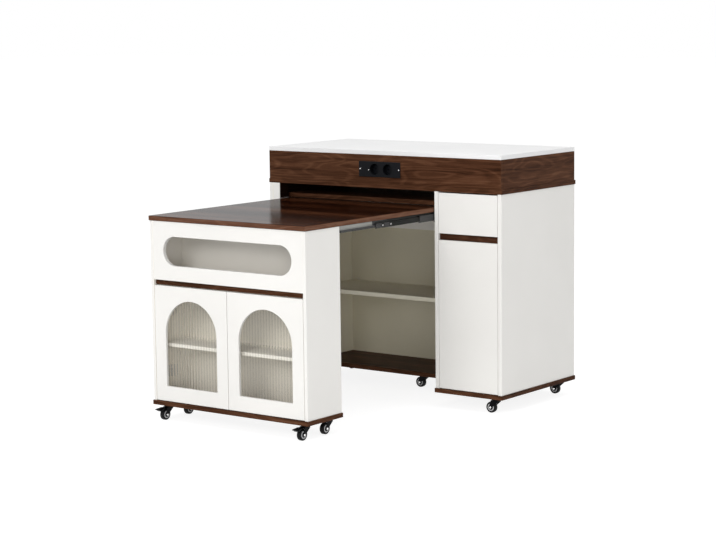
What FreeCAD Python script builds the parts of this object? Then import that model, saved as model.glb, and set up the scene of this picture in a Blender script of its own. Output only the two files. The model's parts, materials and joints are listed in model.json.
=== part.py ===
import FreeCAD, Part
import math
import os
import re
import Sketcher

# Kitchen cart: an island cabinet on casters, with a pull-out table whose far end stands on a
# small cabinet of its own. Millimetres, +Z up, floor at z = 0, +Y towards the back.
# The table is drawn fully out. The origin lies on the floor under the middle of the whole cart.

SIZES = {
    # Island cabinet
    "MainWidth": 1000,
    "MainDepth": 470,
    "TotalHeight": 880,
    "WorktopThickness": 15,
    "ApronHeight": 101,
    "Board": 15,
    "BackSheet": 5,
    "FootThickness": 15,
    "FootOverhang": 3,
    "EdgeBreak": 0.8,
    "StileWidth": 31,
    "StileDepth": 49,
    "ColumnWidth": 272,
    "BaySetback": 217,
    "BayShelfTop": 342,
    "CrossRailHeight": 119,
    "GuideSetback": 60,
    # Pull-out table and its cabinet
    "Travel": 697,
    "TableDrop": 187,
    "TableThickness": 16,
    "TableOverhang": 3,
    "TableInside": 59,
    "TableHeadroom": 1,
    "TableFootroom": 5,
    "PullDepth": 178,
    "PullBackSet": 30,
    "PullSide": 12,
    "FasciaHeight": 198,
    "StadiumMargin": 45,
    "StadiumHeight": 98,
    "PullGrooveHeight": 17,
    "GrooveDepth": 10,
    "PullShelfTop": 263,
    "PullShelfThickness": 12,
    "PullShelfSetback": 25,
    # Doors with fluted arch windows
    "DoorGap": 1.5,
    "MeetingGap": 2,
    "DoorFootGap": 2,
    "DoorHeadGap": 2,
    "ArchSill": 51,
    "ArchHead": 46,
    "PaneMargin": 8,
    "PaneThickness": 4,
    "PanePlay": 0.3,
    "PaneClear": 0.75,
    "FlutePitch": 12,
    "FluteFlat": 0.6,
    "FluteRise": 1.6,
    # Concealed hinges
    "HingeInset": 91,
    "CupRadius": 17.5,
    "CupDepth": 11,
    "CupWall": 1,
    "CupEdge": 3,
    "CupPlateWidth": 20,
    "CupPlateLength": 52,
    "CupPlateThickness": 1.2,
    "HingePlay": 0.5,
    "ArmLength": 58,
    "ArmHeight": 12,
    "ArmFootThickness": 8,
    "ArmNose": 8,
    "ArmPlateHeight": 40,
    "ArmPlateLength": 32,
    "ArmPlateThickness": 1.5,
    # Column with a drawer above a door
    "DrawerHeadGap": 4,
    "DrawerFrontHeight": 139,
    "ColumnGrooveHeight": 23,
    "DrawerRoom": 50,
    "DrawerBoard": 12,
    "DrawerSideHeight": 105,
    "DrawerSheet": 4,
    "DrawerLift": 10,
    "RunnerGap": 12.5,
    "RunnerHalf": 17.5,
    "RunnerBarHalf": 11,
    # Telescopic table slides
    "SlideGap": 9,
    "SlideDrop": 17.5,
    "SlideSteel": 1.3,
    "SlidePlay": 0.45,
    "SlideLip": 0.9,
    "SlideInset": 4,
    "FixedLength": 442,
    "StageLength": 430,
    "FixedHalf": 15,
    "BallRoom": 2.2,
    "StageAReach": 85,
    "StageBReach": 330,
    "InnerOverlap": 70,
    "InnerLegWidth": 2,
    "InnerFlange": 25,
    "CleatBelow": 23,
    # Sockets in the apron
    "PlateLength": 178,
    "PlateHeight": 54,
    "PlateThickness": 3,
    "PlateOffset": 2.5,
    "PlateLap": 9,
    "PlateSideLap": 4.5,
    "SocketRadius": 19.5,
    "SocketWall": 2,
    "SocketDepth": 17,
    "SocketSpacing": 56,
    "SocketShift": 7,
    "PinHoleRadius": 2.5,
    "PinHoleSpacing": 19,
    # Casters
    "CasterPlate": 38,
    "CasterPlateThickness": 2.5,
    "RaceRadius": 14,
    "RaceHeight": 4.8,
    "SwivelPlay": 0.3,
    "KingpinRadius": 4,
    "KingpinLength": 4,
    "CrownHalf": 14,
    "CrownThickness": 5.2,
    "CrownClear": 1.2,
    "Trail": 16,
    "TyreRadius": 19,
    "TyreWidth": 17,
    "TyreShoulder": 2.5,
    "RimRadius": 12.5,
    "RimWidth": 13,
    "HubRadius": 6,
    "HubStand": 0.6,
    "AxleRadius": 2.5,
    "WheelPlay": 0.3,
    "ForkPlay": 0.2,
    "LegThickness": 2,
    "LegEndRadius": 6,
    "PedalLength": 45,
    "PedalTread": 26,
    "PedalWidth": 20,
    "PedalNeck": 13,
    "PedalThickness": 3,
    "PedalPlay": 0.4,
    "MainCasterSide": 44,
    "MainCasterEnd": 30,
    "BayCasterInset": 61,
    "MiddleCasterOffset": 15,
    "PullCasterSide": 36,
    "PullCasterEnd": 30,
}

# Places and sizes that follow from the driving dimensions.
PLACES = {
    "PedalPivot": "CrownHalf + PedalPlay + PedalThickness * (1 + ForkRake) / 2",
    "FrontReach": "Travel - PullCasterEnd + PedalPivot + PedalLength",
    "FrontY": "(FrontReach - MainDepth - FootOverhang) / 2",
    "BackY": "FrontY + MainDepth",
    "BackInner": "BackY - BackSheet",
    "HalfWidth": "MainWidth / 2",
    "CasterHeight": "2 * TyreRadius + CrownClear + CrownThickness + SwivelPlay + RaceHeight"
                    " + CasterPlateThickness",
    "FloorTop": "CasterHeight + FootThickness",
    "ApronTop": "TotalHeight - WorktopThickness",
    "SubTopTop": "ApronTop - ApronHeight",
    "CarcassTop": "SubTopTop - Board",
    "LeftInner": "Board - HalfWidth",
    "BayLeft": "LeftInner + StileWidth",
    "DividerLeft": "HalfWidth - ColumnWidth",
    "ColumnLeft": "DividerLeft + Board",
    "ColumnRight": "HalfWidth - Board",
    "BayFront": "FrontY + BaySetback",
    "BayCentre": "(BayLeft + DividerLeft) / 2",
    "TableTop": "TotalHeight - TableDrop",
    "TableBottom": "TableTop - TableThickness",
    "GuideBottom": "TableTop + TableHeadroom",
    "SlotSill": "TableBottom - TableFootroom",
    "CrossRailBottom": "SlotSill - CrossRailHeight",
    "PullLeft": "BayLeft + SlideGap",
    "PullRight": "DividerLeft - SlideGap",
    "PullFront": "FrontY - Travel",
    "PullBack": "PullFront + PullDepth",
    "PullInnerLeft": "PullLeft + PullSide",
    "PullInnerRight": "PullRight - PullSide",
    "PullInnerWidth": "PullInnerRight - PullInnerLeft",
    "PullBackInner": "PullBack - PullBackSet - BackSheet",
    "FasciaBottom": "TableBottom - FasciaHeight",
    "NicheBottom": "FasciaBottom - PullGrooveHeight",
    "StadiumCentreZ": "(FasciaBottom + TableBottom) / 2",
    "StadiumRadius": "StadiumHeight / 2",
    "StadiumLength": "PullInnerWidth - 2 * StadiumMargin",
    "DoorBottom": "FloorTop + DoorFootGap",
    "PullDoorTop": "NicheBottom - DoorHeadGap",
    "PullDoorBack": "PullFront + Board",
    "PaneSeat": "PaneThickness + FluteRise + PanePlay",
    "CupSetback": "CupEdge + CupRadius",
    "ArchStile": "CupEdge + 2 * CupRadius + PaneClear + PaneMargin",
    "ArchWidth": "(PullInnerWidth - MeetingGap) / 2 - DoorGap - 2 * ArchStile",
    "ArchHeight": "PullDoorTop - DoorBottom - ArchSill - ArchHead",
    "DrawerFrontTop": "CarcassTop - DrawerHeadGap",
    "DrawerFrontBottom": "DrawerFrontTop - DrawerFrontHeight",
    "ColumnDoorTop": "DrawerFrontBottom - ColumnGrooveHeight",
    "ColumnDoorBack": "FrontY + Board",
    "DrawerBottom": "DrawerFrontBottom + DrawerLift",
    "DrawerTop": "DrawerBottom + DrawerSideHeight",
    "DrawerBack": "BackInner - DrawerRoom",
    "DrawerLeft": "ColumnLeft + RunnerGap",
    "DrawerRight": "ColumnRight - RunnerGap",
    "RunnerZ": "(DrawerBottom + DrawerTop) / 2",
    "SlideZ": "TableBottom - SlideDrop",
    "SlideStep": "SlideSteel + SlidePlay",
    "StageAHalf": "FixedHalf - SlideSteel - BallRoom",
    "StageBHalf": "StageAHalf - SlideSteel - BallRoom",
    "InnerHalf": "StageBHalf - SlideSteel - BallRoom",
    "FixedBack": "BackInner - Board - SlideInset",
    "InnerBack": "FrontY - StageBReach + InnerOverlap",
    "PlateCentreZ": "(SubTopTop + ApronTop) / 2",
    "CasterPlateBottom": "CasterHeight - CasterPlateThickness",
    "RaceBottom": "CasterPlateBottom - RaceHeight",
    "CrownTop": "RaceBottom - SwivelPlay",
    "CrownBottom": "CrownTop - CrownThickness",
    "HubWidth": "TyreWidth + 2 * HubStand",
    "ForkGap": "HubWidth + 2 * ForkPlay",
    "ForkWidth": "ForkGap + 2 * LegThickness",
    "ForkRake": "(Trail + LegEndRadius - CrownHalf) / (CrownTop - TyreRadius)",
}

doc = FreeCAD.newDocument("KitchenCart")
sheet = doc.addObject("Spreadsheet::Sheet", "Sizes")
for row, (alias, size) in enumerate(SIZES.items(), 1):
    sheet.set(f"A{row}", alias)
    sheet.set(f"B{row}", str(size))
    sheet.setAlias(f"B{row}", alias)
doc.recompute()

NODES = []


def formula(text):
    """Writes a formula in plain names as an expression on the cells of the sheet."""
    def cell(match):
        name = match.group(0)
        if name in PLACES:
            return "(" + formula(PLACES[name]) + ")"
        return "Sizes." + name
    return re.sub(r"[A-Z][A-Za-z]+", cell, text)


def number(text):
    """The present value of a formula."""
    return float(sheet.evalExpression(formula(text)))


def bind(item, prop, text):
    item.setExpression(prop, formula(text))


def place(item, x, y, z):
    for axis, text in zip("xyz", (x, y, z)):
        bind(item, f"Placement.Base.{axis}", text)


def new_body(label):
    body = doc.addObject("PartDesign::Body", label)
    body.Label = label
    return body


def node(item):
    """Marks a finished sub-part for writing."""
    NODES.append(item)
    return item


def group(label, items):
    """Several solids of one kind that share a node."""
    compound = doc.addObject("Part::Compound", label)
    compound.Label = label
    compound.Links = items
    return node(compound)


def break_edges(body):
    """Breaks every sharp edge of the body as it stands."""
    doc.recompute()
    base = body.Tip
    chamfer = body.newObject("PartDesign::Chamfer", body.Label + "_edges")
    chamfer.Base = (base, ["Edge1"])
    chamfer.UseAllEdges = True
    bind(chamfer, "Size", "EdgeBreak")


def box_feature(body, kind, name, x, y, z):
    """A box from low to high along each axis, in the frame of the body."""
    box = body.newObject(f"PartDesign::{kind}Box", f"{body.Label}_{name}")
    for prop, (low, high) in zip(("Length", "Width", "Height"), (x, y, z)):
        bind(box, prop, f"({high}) - ({low})")
    place(box, x[0], y[0], z[0])
    return box


UPRIGHT = FreeCAD.Rotation()
TO_BACK = FreeCAD.Rotation(FreeCAD.Vector(1, 0, 0), -90)


def cylinder_feature(body, kind, name, radius, length, start, turn=TO_BACK):
    """A cylinder that starts at a point and runs to the back, or upright."""
    cylinder = body.newObject(f"PartDesign::{kind}Cylinder", f"{body.Label}_{name}")
    cylinder.Placement = FreeCAD.Placement(FreeCAD.Vector(), turn)
    bind(cylinder, "Radius", radius)
    bind(cylinder, "Height", length)
    place(cylinder, *start)
    return cylinder


def board(label, x, y, z):
    """A board with broken edges, given as low and high along each axis."""
    body = new_body(label)
    size = [("0", f"({high}) - ({low})") for low, high in (x, y, z)]
    box_feature(body, "Additive", "blank", *size)
    break_edges(body)
    place(body, x[0], y[0], z[0])
    return body


def plane_sketch(body, role, name):
    sketch = body.newObject("Sketcher::SketchObject", f"{body.Label}_{name}")
    plane = [item for item in body.Origin.OriginFeatures if item.Role == role][0]
    sketch.AttachmentSupport = (plane, [""])
    sketch.MapMode = "FlatFace"
    return sketch


def pin_coordinate(sketch, kind, geometry, point, text):
    """Dimensions one coordinate of a sketch point from the sketch's origin."""
    index = sketch.addConstraint(Sketcher.Constraint(kind, -1, 1, geometry, point, number(text)))
    sketch.renameConstraint(index, f"{kind}_{geometry}_{point}")
    bind(sketch, f"Constraints.{kind}_{geometry}_{point}", text)


def outline(sketch, corners):
    """Draws a closed outline. A corner is (u, v), or (u, v, centre u, centre v) where an
    anticlockwise arc leads from it to the next corner."""
    first = sketch.GeometryCount
    spots = [FreeCAD.Vector(number(corner[0]), number(corner[1]), 0) for corner in corners]
    count = len(corners)
    for index, corner in enumerate(corners):
        start, end = spots[index], spots[(index + 1) % count]
        if len(corner) == 2:
            sketch.addGeometry(Part.LineSegment(start, end), False)
            continue
        centre = FreeCAD.Vector(number(corner[2]), number(corner[3]), 0)
        begin = math.atan2(start.y - centre.y, start.x - centre.x)
        finish = math.atan2(end.y - centre.y, end.x - centre.x)
        circle = Part.Circle(centre, FreeCAD.Vector(0, 0, 1), (start - centre).Length)
        turn = (finish - begin) % (2 * math.pi)
        sketch.addGeometry(Part.ArcOfCircle(circle, begin, begin + turn), False)
    for index in range(count):
        link = ("Coincident", first + index, 2, first + (index + 1) % count, 1)
        sketch.addConstraint(Sketcher.Constraint(*link))
    for index, corner in enumerate(corners):
        pin_coordinate(sketch, "DistanceX", first + index, 1, corner[0])
        pin_coordinate(sketch, "DistanceY", first + index, 1, corner[1])
        if len(corner) == 4:
            chord = spots[(index + 1) % count] - spots[index]
            if abs(chord.x) > abs(chord.y):
                pin_coordinate(sketch, "DistanceY", first + index, 3, corner[3])
            else:
                pin_coordinate(sketch, "DistanceX", first + index, 3, corner[2])


def pad(body, sketch, length, reverse=False):
    feature = body.newObject("PartDesign::Pad", sketch.Label + "_pad")
    feature.Profile = sketch
    feature.Reversed = reverse
    bind(feature, "Length", length)
    return feature


def upright_panel(label, y, outlines):
    """A board standing across the cart, its outlines drawn in X and Z, its thickness along Y."""
    body = new_body(label)
    sketch = plane_sketch(body, "XZ_Plane", "profile")
    for corners in outlines:
        outline(sketch, corners)
    pad(body, sketch, f"({y[1]}) - ({y[0]})", reverse=True)
    bind(body, "Placement.Base.y", y[0])
    return body


def rectangle(x, z):
    return [(x[0], z[0]), (x[1], z[0]), (x[1], z[1]), (x[0], z[1])]


class Wall:
    """A wall that faces +X (sign '+') or -X (sign '-'), with distances counted off its face."""

    def __init__(self, face, sign):
        self.face = face
        self.sign = sign

    def off(self, distance):
        return f"{self.face} {self.sign} ({distance})"

    def span(self, near, far):
        pair = (self.off(near), self.off(far))
        return pair if self.sign == "+" else pair[::-1]


BAY_WALLS = {"left": Wall("BayLeft", "+"), "right": Wall("DividerLeft", "-")}
COLUMN_WALLS = {"left": Wall("ColumnLeft", "+"), "right": Wall("ColumnRight", "-")}
PULL_WALLS = {"left": Wall("PullInnerLeft", "+"), "right": Wall("PullInnerRight", "-")}


def channel(label, wall, web, lip, half, middle, y):
    """A rolled channel along Y that opens away from its wall."""
    low, high = f"{middle} - {half}", f"{middle} + {half}"
    inner = f"{web} + SlideSteel"
    corners = [
        (wall.off(web), low),
        (wall.off(lip), low),
        (wall.off(lip), f"{low} + SlideSteel"),
        (wall.off(inner), f"{low} + SlideSteel"),
        (wall.off(inner), f"{high} - SlideSteel"),
        (wall.off(lip), f"{high} - SlideSteel"),
        (wall.off(lip), high),
        (wall.off(web), high),
    ]
    return upright_panel(label, y, [corners])


# Island cabinet: top
FULL_X = ("-HalfWidth", "HalfWidth")
FULL_Y = ("FrontY", "BackY")
RIM_X = ("-HalfWidth - FootOverhang", "HalfWidth + FootOverhang")

node(board("worktop", FULL_X, FULL_Y, ("ApronTop", "TotalHeight")))
node(board("sub_top", RIM_X, ("FrontY", "BackY + FootOverhang"), ("CarcassTop", "SubTopTop")))

APRON_Z = ("SubTopTop", "ApronTop")
RETURN_Y = ("FrontY + Board", "BackY - Board")
group("apron_returns", [
    board("apron_left", ("-HalfWidth", "LeftInner"), RETURN_Y, APRON_Z),
    board("apron_right", ("ColumnRight", "HalfWidth"), RETURN_Y, APRON_Z),
    board("apron_back", FULL_X, ("BackY - Board", "BackY"), APRON_Z),
])

SOCKET_MIDDLE = "SocketShift - PlateOffset"
SOCKET_X = [f"{SOCKET_MIDDLE} - SocketSpacing / 2", f"{SOCKET_MIDDLE} + SocketSpacing / 2"]
CUP_OUTER = "SocketRadius + SocketWall"

apron_front = board("apron_front", FULL_X, ("FrontY", "FrontY + Board"), APRON_Z)
cut_half = ("PlateLength / 2 - PlateLap", "PlateHeight / 2 - PlateSideLap")
cut_centre = ("HalfWidth - PlateOffset", "PlateCentreZ - SubTopTop")
box_feature(
    apron_front, "Subtractive", "socket_cut",
    (f"{cut_centre[0]} - ({cut_half[0]})", f"{cut_centre[0]} + ({cut_half[0]})"),
    ("0", "Board"),
    (f"{cut_centre[1]} - ({cut_half[1]})", f"{cut_centre[1]} + ({cut_half[1]})"),
)
node(apron_front)

# Sockets: a cover plate and two round recessed cups with pin holes
socket_plate = board(
    "socket_plate",
    ("-PlateOffset - PlateLength / 2", "-PlateOffset + PlateLength / 2"),
    ("FrontY - PlateThickness", "FrontY"),
    ("PlateCentreZ - PlateHeight / 2", "PlateCentreZ + PlateHeight / 2"),
)
for index, x in enumerate(SOCKET_X):
    start = (f"{x} + PlateOffset + PlateLength / 2", "0", "PlateHeight / 2")
    hole = ("SocketRadius", "PlateThickness")
    cylinder_feature(socket_plate, "Subtractive", f"hole_{index}", *hole, start)
node(socket_plate)


def socket_cup(label, x):
    cup = new_body(label)
    depth = "SocketDepth + SocketWall"
    cylinder_feature(cup, "Additive", "cup", CUP_OUTER, depth, ("0", "0", "0"))
    cylinder_feature(cup, "Subtractive", "recess", "SocketRadius", "SocketDepth", ("0", "0", "0"))
    for side in ("-", "+"):
        start = (f"{side}PinHoleSpacing / 2", "SocketDepth", "0")
        name = "left_pin" if side == "-" else "right_pin"
        cylinder_feature(cup, "Subtractive", name, "PinHoleRadius", "SocketWall", start)
    place(cup, x, "FrontY", "PlateCentreZ")
    return cup


group("socket_inserts", [socket_cup(f"socket_cup_{index}", x) for index, x in enumerate(SOCKET_X)])

# Island cabinet: carcass
CARCASS_Z = ("FloorTop", "CarcassTop")
INNER_Y = ("FrontY", "BackInner")
BAY_X = ("LeftInner", "DividerLeft")
COLUMN_X = ("ColumnLeft", "ColumnRight")

node(board("left_panel", ("-HalfWidth", "LeftInner"), FULL_Y, CARCASS_Z))
node(board("divider", ("DividerLeft", "ColumnLeft"), INNER_Y, CARCASS_Z))
node(board("right_panel", ("ColumnRight", "HalfWidth"), FULL_Y, CARCASS_Z))
group("left_filler", [
    board("front_stile", ("LeftInner", "BayLeft"), ("FrontY", "FrontY + StileDepth"), CARCASS_Z),
    board("slide_cleat", ("LeftInner", "BayLeft"), ("FrontY + StileDepth", "BackInner - Board"),
          ("SlideZ - CleatBelow", "TableBottom")),
])
node(upright_panel("back_panel", ("BackInner", "BackY"), [[
    ("LeftInner", "FloorTop"),
    ("ColumnRight", "FloorTop"),
    ("ColumnRight", "CarcassTop"),
    ("DividerLeft", "CarcassTop"),
    ("DividerLeft", "SlotSill"),
    ("LeftInner", "SlotSill"),
]]))
RAIL_Y = ("BackInner - Board", "BackInner")
group("back_rails", [
    board("cross_rail", BAY_X, RAIL_Y, ("CrossRailBottom", "SlotSill")),
    board("upper_back_rail", BAY_X, ("BackY - Board", "BackY"), ("GuideBottom + Board", "CarcassTop")),
])
GUIDE_Z = ("GuideBottom", "GuideBottom + Board")
node(board("guide_board", BAY_X, ("FrontY + GuideSetback", "BackY"), GUIDE_Z))
node(board("bay_shelf", BAY_X, ("BayFront", "BackInner"), ("BayShelfTop - Board", "BayShelfTop")))
GROOVE_Y = ("FrontY + GrooveDepth", "BackInner")
node(board("column_rail", COLUMN_X, GROOVE_Y, ("ColumnDoorTop", "DrawerFrontBottom")))

# Island cabinet: floor boards, the bay's set back to leave room for the pull-out cabinet
FOOT_Y = ("FrontY - FootOverhang", "BackY + FootOverhang")
COLUMN_FOOT_LEFT = "DividerLeft - FootOverhang"
FOOT_Z = ("CasterHeight", "FloorTop")
node(board("column_base", (COLUMN_FOOT_LEFT, "HalfWidth + FootOverhang"), FOOT_Y, FOOT_Z))

bay_floor = new_body("bay_floor")
bay_sketch = plane_sketch(bay_floor, "XY_Plane", "profile")
outline(bay_sketch, [
    ("-HalfWidth - FootOverhang", FOOT_Y[0]),
    ("BayLeft", FOOT_Y[0]),
    ("BayLeft", "BayFront"),
    (COLUMN_FOOT_LEFT, "BayFront"),
    (COLUMN_FOOT_LEFT, FOOT_Y[1]),
    ("-HalfWidth - FootOverhang", FOOT_Y[1]),
])
pad(bay_floor, bay_sketch, "FootThickness")
break_edges(bay_floor)
bind(bay_floor, "Placement.Base.z", "CasterHeight")
node(bay_floor)

# Telescopic table slides: a fixed channel, two nested stages and an inner rail on each side
SLIDE_LIP = "SlideGap - SlideLip"
FIXED_Y = ("FixedBack - FixedLength", "FixedBack")


def stage(label, step, half, y):
    """The left and right channels of one stage of the slides."""
    web = f"{step} * SlideStep"
    group(label, [
        channel(f"{label}_{side}", wall, web, SLIDE_LIP, half, "SlideZ", y)
        for side, wall in BAY_WALLS.items()
    ])


stage("slide_rails_fixed", 0, "FixedHalf", FIXED_Y)
stage("slide_stage_a", 1, "StageAHalf", ("FrontY - StageAReach", "FrontY - StageAReach + StageLength"))
stage("slide_stage_b", 2, "StageBHalf", ("FrontY - StageBReach", "FrontY - StageBReach + StageLength"))


def inner_rail(label, wall):
    """The rail that hangs from the underside of the table and runs in the innermost stage."""
    near, face = "3 * SlideStep", "SlideGap"
    leg = f"{face} + InnerLegWidth"
    flange = f"{leg} + InnerFlange"
    low, high = "SlideZ - InnerHalf", "SlideZ + InnerHalf"
    corners = [
        (wall.off(near), low),
        (wall.off(leg), low),
        (wall.off(leg), "TableBottom - SlideSteel"),
        (wall.off(flange), "TableBottom - SlideSteel"),
        (wall.off(flange), "TableBottom"),
        (wall.off(face), "TableBottom"),
        (wall.off(face), high),
        (wall.off(near), high),
    ]
    return upright_panel(label, ("PullBack", "InnerBack"), [corners])


group("slide_rails_inner", [
    inner_rail(f"inner_rail_{side}", wall) for side, wall in BAY_WALLS.items()
])

# Pull-out table and cabinet
PULL_X = ("PullInnerLeft", "PullInnerRight")
PULL_Z = ("FloorTop", "TableBottom")
PULL_Y = ("PullFront", "PullBack")

node(board(
    "table_top",
    ("PullLeft - TableOverhang", "PullRight + TableOverhang"),
    ("PullFront - TableOverhang", "FrontY + TableInside"),
    ("TableBottom", "TableTop"),
))
group("pullout_sides", [
    board("pullout_left_side", ("PullLeft", "PullInnerLeft"), PULL_Y, PULL_Z),
    board("pullout_right_side", ("PullInnerRight", "PullRight"), PULL_Y, PULL_Z),
])
node(board("pullout_back", PULL_X, ("PullBackInner", "PullBackInner + BackSheet"), PULL_Z))
node(board(
    "pullout_base",
    ("PullLeft - FootOverhang", "PullRight + FootOverhang"),
    ("PullFront - FootOverhang", "PullBack + FootOverhang"),
    FOOT_Z,
))
node(board(
    "niche_floor",
    PULL_X,
    ("PullFront + GrooveDepth", "PullBackInner"),
    ("NicheBottom", "FasciaBottom"),
))
node(board(
    "pullout_shelf",
    PULL_X,
    ("PullFront + PullShelfSetback", "PullBackInner"),
    ("PullShelfTop - PullShelfThickness", "PullShelfTop"),
))

STADIUM_LEFT = "BayCentre - StadiumLength / 2 + StadiumRadius"
STADIUM_RIGHT = "BayCentre + StadiumLength / 2 - StadiumRadius"
STADIUM_LOW = "StadiumCentreZ - StadiumRadius"
STADIUM_HIGH = "StadiumCentreZ + StadiumRadius"
fascia = upright_panel("pullout_fascia", ("PullFront", "PullDoorBack"), [
    rectangle(PULL_X, ("FasciaBottom", "TableBottom")),
    [
        (STADIUM_LEFT, STADIUM_LOW),
        (STADIUM_RIGHT, STADIUM_LOW, STADIUM_RIGHT, "StadiumCentreZ"),
        (STADIUM_RIGHT, STADIUM_HIGH),
        (STADIUM_LEFT, STADIUM_HIGH, STADIUM_LEFT, "StadiumCentreZ"),
    ],
])
break_edges(fascia)
node(fascia)


# Concealed hinges: a cup let into the back of the door, and an arm on the wall beside it
def hinge_heights(low, high):
    return {"lower": f"{low} + HingeInset", "upper": f"{high} - HingeInset"}


def cup_pocket(door, name, wall, back, z):
    start = (wall.off("DoorGap + CupSetback"), f"{back} - CupDepth", z)
    cylinder_feature(door, "Subtractive", f"{name}_pocket", "CupRadius", "CupDepth", start)


def hinge_cup(label, wall, back, z):
    cup = new_body(label)
    x = wall.off("DoorGap + CupSetback")
    cylinder_feature(cup, "Additive", "cup", "CupRadius", "CupDepth", ("0", "0", "0"))
    box_feature(
        cup, "Additive", "plate",
        ("-CupPlateWidth / 2", "CupPlateWidth / 2"),
        ("CupDepth", "CupDepth + CupPlateThickness"),
        ("-CupPlateLength / 2", "CupPlateLength / 2"),
    )
    hollow = ("CupPlateWidth / 2 - CupWall", "CupDepth + CupPlateThickness")
    cylinder_feature(cup, "Subtractive", "hollow", *hollow, ("0", "CupWall", "0"))
    place(cup, x, f"{back} - CupDepth", z)
    return cup


def hinge_arm(label, wall, back, z):
    arm = new_body(label)
    sketch = plane_sketch(arm, "XY_Plane", "profile")
    front = f"{back} + CupPlateThickness + HingePlay"
    nose = "DoorGap + CupSetback"
    outline(sketch, [
        (wall.off("0"), f"{front} + 2 * ArmNose"),
        (wall.off("ArmFootThickness"), f"{front}"),
        (wall.off(nose), f"{front}"),
        (wall.off(nose), f"{front} + ArmNose"),
        (wall.off("ArmFootThickness"), f"{front} + 3 * ArmNose"),
        (wall.off("ArmFootThickness"), f"{front} + ArmLength"),
        (wall.off("0"), f"{front} + ArmLength"),
    ])
    pad(arm, sketch, "ArmHeight")
    box_feature(
        arm, "Additive", "plate",
        wall.span("0", "ArmPlateThickness"),
        (f"{front} + ArmLength - ArmPlateLength", f"{front} + ArmLength"),
        ("ArmHeight / 2 - ArmPlateHeight / 2", "ArmHeight / 2 + ArmPlateHeight / 2"),
    )
    bind(arm, "Placement.Base.z", f"{z} - ArmHeight / 2")
    return arm


PULL_HINGES = hinge_heights("DoorBottom", "PullDoorTop")
COLUMN_HINGES = hinge_heights("DoorBottom", "ColumnDoorTop")

group("pullout_hinge_arms", [
    hinge_arm(f"{side}_{level}_arm", wall, "PullDoorBack", z)
    for side, wall in PULL_WALLS.items()
    for level, z in PULL_HINGES.items()
])


# Pull-out doors: a board with an arch window, its hinge cups and a fluted pane
def window_door(side, wall):
    span = wall.span("DoorGap", "(PullInnerWidth - MeetingGap) / 2")
    middle = f"(({span[0]}) + ({span[1]})) / 2"
    low, high = f"{middle} - ArchWidth / 2", f"{middle} + ArchWidth / 2"
    sill = "DoorBottom + ArchSill"
    spring = f"{sill} + ArchHeight - ArchWidth / 2"
    door = upright_panel(f"{side}_door_board", ("PullFront", "PullDoorBack"), [
        rectangle(span, ("DoorBottom", "PullDoorTop")),
        [(low, sill), (high, sill), (high, spring, middle, spring), (low, spring)],
    ])
    break_edges(door)
    pane_x = (f"{low} - PaneMargin", f"{high} + PaneMargin")
    pane_z = (f"{sill} - PaneMargin", f"{sill} + ArchHeight + PaneMargin")
    box_feature(door, "Subtractive", "rebate", pane_x, ("Board - PaneSeat", "Board"), pane_z)
    cups = []
    for level, z in PULL_HINGES.items():
        cup_pocket(door, level, wall, "Board", z)
        cups.append(hinge_cup(f"{side}_{level}_cup", wall, "PullDoorBack", z))
    group(f"{side}_door", [door] + cups)

    glass = new_body(f"{side}_glass")
    size = [f"({edge[1]}) - ({edge[0]})" for edge in (pane_x, pane_z)]
    box_feature(glass, "Additive", "pane", ("0", size[0]), ("0", "PaneThickness"), ("0", size[1]))
    sketch = plane_sketch(glass, "XY_Plane", "flute")
    chord = "FlutePitch - FluteFlat"
    sagitta_centre = f"(({chord}) * ({chord}) / 4 - FluteRise * FluteRise) / (2 * FluteRise)"
    outline(sketch, [
        ("FluteFlat / 2", "0", "FlutePitch / 2", sagitta_centre),
        ("FlutePitch - FluteFlat / 2", "0"),
    ])
    flute = pad(glass, sketch, size[1])
    doc.recompute()
    pattern = glass.newObject("PartDesign::LinearPattern", f"{side}_flutes")
    pattern.Originals = [flute]
    pattern.Direction = (sketch, ["H_Axis"])
    bind(pattern, "Length", f"{size[0]} - FlutePitch")
    bind(pattern, "Occurrences", f"floor(({size[0]}) / FlutePitch)")
    glass.Tip = pattern
    place(glass, pane_x[0], "PullDoorBack - PaneThickness", pane_z[0])
    node(glass)


for side, wall in PULL_WALLS.items():
    window_door(side, wall)

# Column door, hinged on the right
column_door = board(
    "column_door_board",
    ("ColumnLeft + DoorGap", "ColumnRight - DoorGap"),
    ("FrontY", "ColumnDoorBack"),
    ("DoorBottom", "ColumnDoorTop"),
)
hinge_wall = COLUMN_WALLS["right"]
door_edge = Wall("ColumnRight - ColumnLeft - DoorGap", "-")
column_cups = []
for level, z in COLUMN_HINGES.items():
    cup_pocket(column_door, level, door_edge, "Board", f"{z} - DoorBottom")
    column_cups.append(hinge_cup(f"column_{level}_cup", hinge_wall, "ColumnDoorBack", z))
group("column_door", [column_door] + column_cups)

# Column drawer and its runners
DRAWER_Y = ("ColumnDoorBack", "DrawerBack")
DRAWER_Z = ("DrawerBottom", "DrawerTop")
DRAWER_INNER = ("DrawerLeft + DrawerBoard", "DrawerRight - DrawerBoard")
node(board(
    "drawer_front",
    ("ColumnLeft + DoorGap", "ColumnRight - DoorGap"),
    ("FrontY", "ColumnDoorBack"),
    ("DrawerFrontBottom", "DrawerFrontTop"),
))
group("drawer_box", [
    board("drawer_left_side", ("DrawerLeft", DRAWER_INNER[0]), DRAWER_Y, DRAWER_Z),
    board("drawer_right_side", (DRAWER_INNER[1], "DrawerRight"), DRAWER_Y, DRAWER_Z),
    board("drawer_end", DRAWER_INNER, ("DrawerBack - DrawerBoard", "DrawerBack"), DRAWER_Z),
    board("drawer_bottom", DRAWER_INNER, ("ColumnDoorBack", "DrawerBack - DrawerBoard"),
          ("DrawerBottom", "DrawerBottom + DrawerSheet")),
])
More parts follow.
